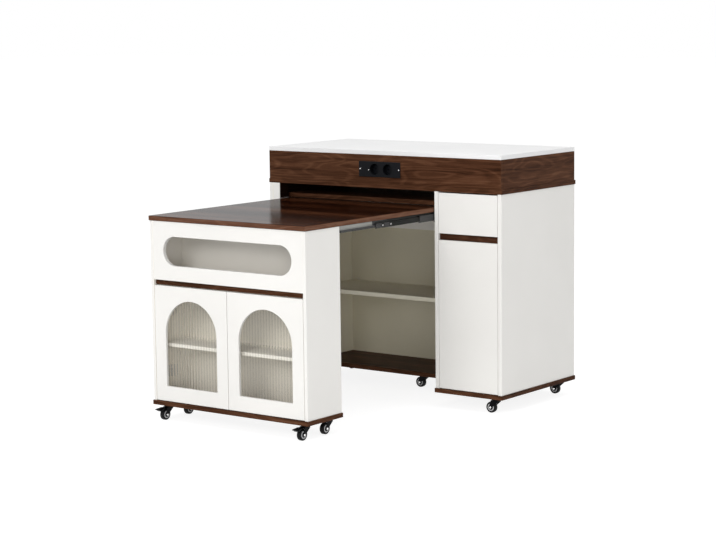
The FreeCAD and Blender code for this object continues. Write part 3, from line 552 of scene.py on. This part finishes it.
def strip(name, low, high, body, slot, material):
    """A strip or sheet between two corners, its edges rounded by a share of its thickness."""
    form = bmesh.new()
    bmesh.ops.create_cube(form, size=1.0)
    middle = (Vector(low) + Vector(high)) / 2
    reach = Vector(high) - Vector(low)
    form.transform(Matrix.Translation(middle) @ Matrix.Diagonal((*reach, 1.0)))
    rounding = BROKEN_EDGE * min(reach)
    bmesh.ops.bevel(form, geom=list(form.edges), offset=rounding, segments=2, profile=0.5, affect="EDGES")
    piece(name, mesh_from(form, name), body, slot, material)


ON_AXIS = 1e-9


def turned_mesh(name, profile, segments, place):
    """A closed lathe form. The profile is (radius, height, material index) round a closed loop, or open
    where its ends lie on the axis. The place matrix sets the axis."""
    form = bmesh.new()
    turns = [2 * math.pi * step / segments for step in range(segments)]
    rings = []
    for radius, height, _ in profile:
        if radius < ON_AXIS:
            places = [(0, 0, height)]
        else:
            places = [(radius * math.cos(turn), radius * math.sin(turn), height) for turn in turns]
        rings.append([form.verts.new(corner) for corner in places])
    count = len(rings)
    closed = profile[0][0] > ON_AXIS and profile[-1][0] > ON_AXIS
    for index in range(count if closed else count - 1):
        lower = rings[index]
        upper = rings[(index + 1) % count]
        for step in range(segments):
            after = (step + 1) % segments
            corners = [lower[step % len(lower)], lower[after % len(lower)],
                       upper[after % len(upper)], upper[step % len(upper)]]
            face = form.faces.new(list(dict.fromkeys(corners)))
            face.material_index = profile[index][2]
            face.smooth = True
    bmesh.ops.recalc_face_normals(form, faces=form.faces)
    form.transform(place)
    return mesh_from(form, name)


def turn_to(axis, centre):
    """A matrix that turns +Z to an axis and moves to a centre."""
    return Matrix.Translation(centre) @ axis.to_track_quat("Z", "Y").to_matrix().to_4x4()


def joint_place(name):
    return Vector(JOINTS[name]["pos_m"])


def caster_axis(name):
    """The middle of a caster's wheel, and the direction of its axle."""
    joint = f"roll_{name}"
    return joint_place(joint), Vector(JOINTS[joint]["axis"]).normalized()


# Caster wheels: rounded tyre, light ring let into the face, dished web and hub
RUBBER, RING, HUB = 0, 1, 2
TYRE_RADIUS = 19 * MM
TYRE_HALF = 8.5 * MM
SHOULDER = 4.2 * MM
SHOULDER_STEPS = 7
TREAD_START = 0.12
WHEEL_SEGMENTS = 56
# From the bore round the hub, web and ring to the tyre: radius and height in mm, and the finish after it
WHEEL_FACE = (
    (2.8, 9.1, HUB), (4.6, 9.1, HUB), (5.2, 8.5, HUB), (6.0, 7.2, HUB), (8.6, 6.9, HUB),
    (9.0, 7.7, RING), (9.4, 7.9, RING), (12.0, 7.9, RING),
    (12.5, 7.6, HUB), (12.7, 7.0, RUBBER), (13.0, 7.9, RUBBER),
)


def wheel_profile():
    """Half a wheel's section on the +Z side and its mirror image, where each finish runs the other way."""
    upper = [(radius * MM, height * MM, finish) for radius, height, finish in WHEEL_FACE]
    for step in range(SHOULDER_STEPS + 1):
        turn = math.pi / 2 + (TREAD_START - math.pi / 2) * step / SHOULDER_STEPS
        radius = TYRE_RADIUS - SHOULDER + SHOULDER * math.cos(turn)
        height = TYRE_HALF - SHOULDER + SHOULDER * math.sin(turn)
        upper.append((radius, height, RUBBER))
    mirrored = [(radius, -height, finish) for radius, height, finish in reversed(upper)]
    following = mirrored[1:] + mirrored[-1:]
    lower = [(radius, height, after[2]) for (radius, height, _), after in zip(mirrored, following)]
    return upper + lower


def wheel(name):
    node = f"caster_wheel_{name}"
    centre, axis = caster_axis(name)
    mesh = turned_mesh(f"wheel_{name}", wheel_profile(), WHEEL_SEGMENTS, turn_to(axis, centre))
    item = piece(f"tyred_wheel_{name}", mesh, BODY_OF[node], "wheel", TYRE, RING_GREY, CASTER_BLACK)
    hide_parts(node)


# Axle caps: domed rivet heads on both legs of the fork
CAP_RADIUS = 4.2 * MM
CAP_RISE = 1.7 * MM
CAP_TURNS = (0.3, 0.6, 0.9, 1.2, 1.45)
CAP_SEGMENTS = 28
FORK_HALF = 11.3 * MM


def axle_caps(name):
    centre, axis = caster_axis(name)
    dome = [(CAP_RADIUS * math.sin(turn), CAP_RISE * math.cos(turn), 0) for turn in CAP_TURNS]
    profile = [(0.0, CAP_RISE, 0), *dome, (CAP_RADIUS, 0.0, 0), (0.0, 0.0, 0)]
    places = [turn_to(axis * sign, centre + axis * sign * FORK_HALF) for sign in (-1, 1)]
    mesh = joined_mesh(f"axle_caps_{name}", [turned_mesh("cap", profile, CAP_SEGMENTS, p) for p in places])
    piece(f"axle_caps_{name}", mesh, BODY_OF[f"caster_fork_{name}"], "steel", BRIGHT)


# Brake pedals: a toe that swells to a heel before the tyre, as (reach, top, bottom, half width) in mm
PEDAL_STATIONS = (
    (-1.3, 0.9, 2.4, 6.0), (0.0, 0.1, 3.0, 6.2), (7.0, 0.1, 3.6, 6.4), (12.0, 0.1, 5.6, 9.2),
    (16.0, 0.2, 7.4, 9.6), (20.0, 0.5, 10.0, 9.8), (24.0, 0.9, 12.4, 9.8), (28.0, 1.3, 11.4, 9.6),
    (33.0, 1.8, 7.6, 9.2), (38.0, 2.2, 5.4, 8.4), (42.0, 2.6, 4.6, 6.4), (44.6, 3.0, 4.2, 4.0),
)
PEDAL_ROUND = 0.22


def brake_pedal(name):
    """The pedal as a loft of sections with cut corners from its hinge to its tip, out along -Y."""
    node = f"brake_pedal_{name}"
    top_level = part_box(node)[1].z
    hinge = joint_place(f"brake_{name}")
    form = bmesh.new()
    rings = []
    for reach, top, bottom, half in PEDAL_STATIONS:
        cut = PEDAL_ROUND * (bottom - top)
        section = [(half, top + cut), (half - cut, top), (cut - half, top), (-half, top + cut),
                   (-half, bottom - cut), (cut - half, bottom), (half - cut, bottom), (half, bottom - cut)]
        rings.append([form.verts.new((hinge.x + x * MM, hinge.y - reach * MM, top_level - drop * MM))
                      for x, drop in section])
    for near, far in zip(rings, rings[1:]):
        for step in range(len(near)):
            after = (step + 1) % len(near)
            form.faces.new((near[step], near[after], far[after], far[step])).smooth = True
    form.faces.new(rings[0])
    form.faces.new(rings[-1])
    bmesh.ops.recalc_face_normals(form, faces=form.faces)
    mesh = mesh_from(form, f"pedal_{name}")
    item = piece(f"pedal_{name}", mesh, BODY_OF[node], "caster_black", CASTER_BLACK)
    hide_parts(node)


for name in CASTERS:
    wheel(name)
    axle_caps(name)
    if f"brake_pedal_{name}" in NODES:
        brake_pedal(name)


# Repeated fittings, placed by node trees

def fitting_tree(name, inputs):
    """An empty geometry tree with named inputs: the tree, its input node, and its inputs' identifiers."""
    tree = bpy.data.node_groups.new(name, "GeometryNodeTree")
    identifiers = {}
    for label, kind in inputs.items():
        socket = tree.interface.new_socket(label, in_out="INPUT", socket_type=f"NodeSocket{kind}")
        identifiers[label] = socket.identifier
    tree.interface.new_socket("Fittings", in_out="OUTPUT", socket_type="NodeSocketGeometry")
    return tree, tree.nodes.new("NodeGroupInput").outputs, identifiers


def end_tree(tree, geometry, finish):
    """Gives the real fittings their finish and puts them out."""
    dressed = add(tree, "GeometryNodeSetMaterial", {"Geometry": geometry, "Material": finish}).outputs[0]
    tree.links.new(dressed, tree.nodes.new("NodeGroupOutput").inputs["Fittings"])


HEAD_SIDES = 20
HEAD_TAPER = 0.72
RECESS_LENGTH = 1.1
RECESS_WIDTH = 0.26
RECESS_LIFT = 1.45


def make_screw_tree():
    """Cross-recess screw heads on points, each turned to the direction that its point faces."""
    tree, given, identifiers = fitting_tree("screw_heads", {
        "Points": "Geometry", "Head radius": "Float", "Head height": "Float", "Finish": "Material"})
    radius = given["Head radius"]
    height = given["Head height"]
    head = add(tree, "GeometryNodeMeshCone", {
        "Vertices": HEAD_SIDES, "Radius Bottom": radius, "Depth": height,
        "Radius Top": math_node(tree, "MULTIPLY", radius, HEAD_TAPER)}).outputs["Mesh"]
    long_arm = math_node(tree, "MULTIPLY", radius, RECESS_LENGTH)
    short_arm = math_node(tree, "MULTIPLY", radius, RECESS_WIDTH)
    bar_size = combine(tree, long_arm, short_arm, height)
    bar = add(tree, "GeometryNodeMeshCube", {"Size": bar_size}).outputs["Mesh"]
    lift = combine(tree, 0.0, 0.0, math_node(tree, "MULTIPLY", height, RECESS_LIFT))
    recess = add(tree, "GeometryNodeMeshBoolean", {"Mesh 1": head}, operation="DIFFERENCE", solver="EXACT")
    for turn in (0.0, math.pi / 2):
        arm = add(tree, "GeometryNodeTransform", {
            "Geometry": bar, "Translation": lift, "Rotation": (0.0, 0.0, turn)}).outputs[0]
        tree.links.new(arm, recess.inputs["Mesh 2"])
    facing = add(tree, "GeometryNodeInputNamedAttribute", {"Name": "facing"}, data_type="FLOAT_VECTOR")
    turned = add(
        tree, "FunctionNodeAlignRotationToVector", {"Vector": facing.outputs["Attribute"]}, axis="Z")
    placed = add(tree, "GeometryNodeInstanceOnPoints", {
        "Points": given["Points"], "Instance": recess.outputs["Mesh"], "Rotation": turned.outputs[0]})
    real = add(tree, "GeometryNodeRealizeInstances", {"Geometry": placed.outputs[0]}).outputs[0]
    end_tree(tree, real, given["Finish"])
    return tree, identifiers


def make_ball_tree():
    """Bearing balls on points."""
    tree, given, identifiers = fitting_tree("bearing_balls", {
        "Points": "Geometry", "Ball radius": "Float", "Finish": "Material"})
    ball = add(tree, "GeometryNodeMeshIcoSphere", {"Radius": given["Ball radius"], "Subdivisions": 2})
    placed = add(tree, "GeometryNodeInstanceOnPoints", {
        "Points": given["Points"], "Instance": ball.outputs["Mesh"]})
    real = add(tree, "GeometryNodeRealizeInstances", {"Geometry": placed.outputs[0]}).outputs[0]
    smooth = add(tree, "GeometryNodeSetShadeSmooth", {"Geometry": real}).outputs[0]
    end_tree(tree, smooth, given["Finish"])
    return tree, identifiers


SCREWS = make_screw_tree()
BALLS = make_ball_tree()


def placed_by(tree_and_identifiers, name, spots, facing, values, body):
    """Runs a node tree on a list of points and keeps its result as a plain piece of steel."""
    tree, identifiers = tree_and_identifiers
    points = bpy.data.meshes.new(f"{name}_points")
    points.from_pydata([tuple(spot) for spot in spots], [], [])
    attribute = points.attributes.new("facing", "FLOAT_VECTOR", "POINT")
    attribute.data.foreach_set("vector", [*facing] * len(spots))
    holder = bpy.data.objects.new(f"{name}_holder", points)
    bpy.context.scene.collection.objects.link(holder)
    modifier = holder.modifiers.new("fittings", "NODES")
    modifier.node_group = tree
    for label, value in values.items():
        modifier[identifiers[label]] = value
    graph = bpy.context.evaluated_depsgraph_get()
    mesh = bpy.data.meshes.new_from_object(holder.evaluated_get(graph))
    mesh.name = name
    bpy.data.objects.remove(holder)
    bpy.data.meshes.remove(points)
    return piece(name, mesh, body, "steel")


def screws(name, spots, facing, radius, height, finish, body):
    values = {"Head radius": radius, "Head height": height, "Finish": finish}
    return placed_by(SCREWS, name, spots, facing, values, body)


# Socket plate: a screw at each end and a small indicator lens
SCREW_INSET = 6 * MM
LENS_INSET = 43 * MM
LENS_DROP = 3 * MM
LENS_SEGMENTS = 24
LENS_PROFILE = ((0.0, 0.8), (1.0, 0.65), (1.7, 0.2), (1.8, 0.0), (0.0, 0.0))
plate_low, plate_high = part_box("socket_plate")
plate_level = middle_of("socket_plate").z
screw_places = (plate_low.x + SCREW_INSET, plate_high.x - SCREW_INSET)
screws("socket_screws", [(x, plate_low.y, plate_level) for x in screw_places], FRONTWARD,
       radius=2.5 * MM, height=0.9 * MM, finish=BRIGHT, body="cabinet")
lens_place = Vector((plate_low.x + LENS_INSET, plate_low.y, plate_level - LENS_DROP))
lens_profile = [(radius * MM, height * MM, 0) for radius, height in LENS_PROFILE]
lens = turned_mesh("socket_lens", lens_profile, LENS_SEGMENTS, turn_to(FRONTWARD, lens_place))
piece("socket_lens", lens, "cabinet", "socket_black", LENS_GREY)

# Slot over the table: dark linings on the stile and the left panel, which are painted shade in the slot, and a
# felt strip under the guide board
STILE_DEPTH = 49 * MM
LINING = 1.5 * MM
LINING_LIFT = 1.0 * MM
LINING_END = 20 * MM
FELT_INSET = 1 * MM
FELT_LIP = 2.5 * MM
FELT_DEPTH = 14 * MM
FELT_LIFT = 0.15 * MM
guide_low, guide_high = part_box("guide_board")
table_low, table_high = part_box("table_top")
stile_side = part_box("left_filler")[1].x
slot_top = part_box("sub_top")[0].z
strip(
    "stile_painted_shade",
    (stile_side, FRONT + LINING, table_high.z + LINING_LIFT),
    (stile_side + LINING, FRONT + STILE_DEPTH, slot_top),
    body="cabinet", slot="walnut", material=WALNUT_PAINTED_SHADE)
strip(
    "slot_painted_shade",
    (guide_low.x, guide_low.y, guide_high.z),
    (guide_low.x + LINING, guide_high.y - LINING_END, slot_top),
    body="cabinet", slot="walnut", material=WALNUT_PAINTED_SHADE)
strip(
    "guide_felt",
    (guide_low.x + FELT_INSET, guide_low.y - FELT_LIP, table_high.z + FELT_LIFT),
    (guide_high.x - FELT_INSET, guide_low.y + FELT_DEPTH, guide_low.z),
    body="cabinet", slot="socket_black", material=FELT)

# Dark strips under the table's edges, behind the inner rails: painted shade under the table's edges
STRIP_DEPTH = 4.8 * MM
STRIP_WIDTH = 2.8 * MM
STRIP_INSET = 0.2 * MM
END_GAP = 2 * MM
rail_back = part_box("slide_rails_inner")[1].y
side_low, side_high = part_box("pullout_sides")
strip_places = {"left": side_low.x + STRIP_INSET, "right": side_high.x - STRIP_INSET - STRIP_WIDTH}
for side, x in strip_places.items():
    strip(
        f"table_shade_strip_{side}",
        (x, rail_back, table_low.z - STRIP_DEPTH),
        (x + STRIP_WIDTH, table_high.y - END_GAP, table_low.z),
        body="pullout", slot="steel", material=SLIDE_FIXED)

# Thin dark strips on the slides' middle members, which close the view over their upper flanges: painted shade over
# the flanges
SHADE_STRIP_GAP = 0.25 * MM
SHADE_STRIP_THICK = 0.4 * MM
SHADE_STRIP_RISE = 6.5 * MM
SHADE_STRIP_LAP = 1 * MM
shade_strip_places = {"left": side_low.x - SHADE_STRIP_GAP - SHADE_STRIP_THICK, "right": side_high.x + SHADE_STRIP_GAP}
for side, x in shade_strip_places.items():
    strip(
        f"slide_shade_strip_{side}",
        (x, stage_b_low.y + END_GAP, stage_b_high.z - SHADE_STRIP_LAP),
        (x + SHADE_STRIP_THICK, stage_b_high.y - END_GAP, stage_b_high.z + SHADE_STRIP_RISE),
        body="slide_b", slot="steel", material=SLIDE_FIXED)

# Caster plates: four screws each
PLATE_HOLE = 14.5 * MM
PLATE_THICK = 2.5 * MM
plate_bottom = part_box("main_caster_plates")[1].z - PLATE_THICK
for body, prefix in (("cabinet", "main"), ("pullout", "pull")):
    bases = [joint_place(f"swivel_{name}") for name in CASTERS if name.startswith(prefix)]
    spots = [(base.x + side * PLATE_HOLE, base.y + end * PLATE_HOLE, plate_bottom)
             for base in bases for side in (-1, 1) for end in (-1, 1)]
    screws(f"{prefix}_caster_screws", spots, -UPWARD,
           radius=2.6 * MM, height=1.2 * MM, finish=ZINC, body=body)

# Table slides: rows of balls between the nested members, and rivets on the middle stage
SLIDE_PLATE = 1.3 * MM
BALL_RADIUS = 1.0 * MM
BALL_ROOM = 2.2 * MM
BALL_PITCH = 9 * MM
BALL_LEAD = 6 * MM
BALL_COUNT = 8
RIVET_RADIUS = 3.0 * MM
RIVET_FLAT = 0.8
RIVET_RISE = 0.3 * MM
RIVET_LEADS = (39 * MM, 84 * MM)
RIVET_SEGMENTS = 20


def ball_rows(node, body, inset):
    """Balls along the inside of a slide member's flanges, near its front end, left and right."""
    low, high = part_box(node)
    level = (high.z - low.z) / 2 - SLIDE_PLATE - BALL_ROOM / 2
    spots = [
        (x, low.y + BALL_LEAD + step * BALL_PITCH, SLIDE_Z + sign * level)
        for x in (low.x + inset, high.x - inset) for sign in (-1, 1) for step in range(BALL_COUNT)]
    values = {"Ball radius": BALL_RADIUS, "Finish": BRIGHT}
    placed_by(BALLS, f"{node}_balls", spots, UPWARD, values, body)


def stage_rivets():
    """Two flat rivet heads on the outer face of each middle stage, behind its stop and its spacer."""
    flat = RIVET_RADIUS * RIVET_FLAT
    profile = [(0.0, RIVET_RISE, 0), (flat, RIVET_RISE, 0), (RIVET_RADIUS, 0.0, 0), (0.0, 0.0, 0)]
    places = [
        turn_to(way, Vector((x, stage_b_low.y + lead, SLIDE_Z)))
        for x, way in ((stage_b_low.x, -RIGHTWARD), (stage_b_high.x, RIGHTWARD)) for lead in RIVET_LEADS]
    mesh = joined_mesh("slide_rivets", [turned_mesh("rivet", profile, RIVET_SEGMENTS, p) for p in places])
    piece("slide_rivets", mesh, "slide_b", "steel", BRIGHT)


stage_rivets()
ball_rows("slide_rails_fixed", "cabinet", inset=4.6 * MM)
ball_rows("slide_stage_a", "slide_a", inset=3.6 * MM)
ball_rows("slide_stage_b", "slide_b", inset=2.6 * MM)


# Floor, light and camera

FLOOR_REACH = 40.0
FLOOR_GREY = (0.86, 0.86, 0.86, 1.0)
FLOOR_GLOW = 0.86
FLOOR_SHADED = (0.34, 0.34, 0.34, 1.0)
PURE_WHITE = (1.0, 1.0, 1.0, 1.0)
WORLD_LIGHT = 0.48
WORLD_SEEN = 1.0


def make_floor():
    """A pale floor that looks white in the picture and keeps the shadow."""
    mesh = bpy.data.meshes.new("floor")
    corners = [(-1, -1), (1, -1), (1, 1), (-1, 1)]
    mesh.from_pydata([(x * FLOOR_REACH, y * FLOOR_REACH, 0) for x, y in corners], [], [(0, 1, 2, 3)])
    floor = bpy.data.objects.new("floor", mesh)
    bpy.context.scene.collection.objects.link(floor)
    material = bpy.data.materials.new("floor_white")
    material.use_nodes = True
    tree = material.node_tree
    shader = tree.nodes["Principled BSDF"]
    shader.inputs["Base Color"].default_value = FLOOR_GREY
    shader.inputs["Roughness"].default_value = 0.9
    shader.inputs["Specular IOR Level"].default_value = 0.0
    glow = add(tree, "ShaderNodeEmission", {"Color": PURE_WHITE, "Strength": FLOOR_GLOW})
    shaded = add(tree, "ShaderNodeBsdfDiffuse", {"Color": FLOOR_SHADED})
    bright = add(tree, "ShaderNodeAddShader", {0: glow.outputs[0], 1: shaded.outputs[0]})
    mixed = add(tree, "ShaderNodeMixShader", {
        0: seen_directly(tree), 1: shader.outputs[0], 2: bright.outputs[0]})
    tree.links.new(mixed.outputs[0], tree.nodes["Material Output"].inputs["Surface"])
    mesh.materials.append(material)


def make_world():
    """Soft light from all round, white where it is seen."""
    world = bpy.data.worlds.new("studio")
    bpy.context.scene.world = world
    world.use_nodes = True
    tree = world.node_tree
    tree.nodes.clear()
    soft = add(tree, "ShaderNodeBackground", {"Color": PURE_WHITE, "Strength": WORLD_LIGHT})
    white = add(tree, "ShaderNodeBackground", {"Color": PURE_WHITE, "Strength": WORLD_SEEN})
    mixed = add(tree, "ShaderNodeMixShader", {
        0: seen_directly(tree), 1: soft.outputs[0], 2: white.outputs[0]})
    tree.links.new(mixed.outputs[0], tree.nodes.new("ShaderNodeOutputWorld").inputs["Surface"])


# Each soft light: place, aim, size and watts
SOFT_LIGHTS = {
    "front_light": ((0.6, -8.2, 4.2), (0.0, 0.0, 0.5), (5.0, 3.4), 288.0),
    "bay_light": ((3.6, -4.6, 1.5), (0.0, 0.2, 0.4), (2.0, 1.6), 34.0),
    "low_light": ((3.0, -4.0, 0.42), (0.0, 0.3, 0.52), (1.8, 0.6), 22.0),
    "right_light": ((4.6, 0.6, 2.4), (0.0, 0.2, 0.5), (2.6, 2.4), 26.0),
    "top_light": ((0.2, -0.6, 4.2), (0.0, 0.0, 0.4), (3.4, 3.4), 52.0),
}


def soft_light(name, place, aim, size, watts):
    data = bpy.data.lights.new(name, "AREA")
    data.shape = "RECTANGLE"
    data.size, data.size_y = size
    data.energy = watts
    lamp = bpy.data.objects.new(name, data)
    lamp.location = place
    lamp.rotation_euler = (Vector(aim) - Vector(place)).to_track_quat("-Z", "Y").to_euler()
    bpy.context.scene.collection.objects.link(lamp)


# The photographed view, from a camera fitted to the photograph's corners
VIEW_YAW = math.radians(37.246)
VIEW_PITCH = math.radians(-7.43)
VIEW_ROLL = math.radians(-0.705)
VIEW_PLACE = (4.1494, FRONT - 5.5928, 1.3714)
FOCAL_PIXELS = 2007.9
PICTURE_WIDTH = 716.0
SENSOR_WIDTH = 36.0
FAR_CLIP = 200.0


def make_camera():
    """A lens of about 100 mm, some 37 degrees to the right of the front and 7.4 degrees above."""
    data = bpy.data.cameras.new("camera")
    camera = bpy.data.objects.new("camera", data)
    bpy.context.scene.collection.objects.link(camera)
    flat = math.cos(VIEW_PITCH)
    forward = Vector((-math.sin(VIEW_YAW) * flat, math.cos(VIEW_YAW) * flat, math.sin(VIEW_PITCH)))
    level = forward.cross(UPWARD).normalized()
    upright = level.cross(forward)
    right = level * math.cos(VIEW_ROLL) + upright * math.sin(VIEW_ROLL)
    up = upright * math.cos(VIEW_ROLL) - level * math.sin(VIEW_ROLL)
    turn = Matrix((right, up, -forward)).transposed().to_4x4()
    camera.matrix_world = Matrix.Translation(VIEW_PLACE) @ turn
    data.sensor_width = SENSOR_WIDTH
    data.lens = FOCAL_PIXELS / PICTURE_WIDTH * SENSOR_WIDTH
    data.clip_end = FAR_CLIP
    bpy.context.scene.camera = camera


make_floor()
make_world()
for name, settings in SOFT_LIGHTS.items():
    soft_light(name, *settings)
make_camera()
bpy.context.scene.view_settings.view_transform = "Standard"
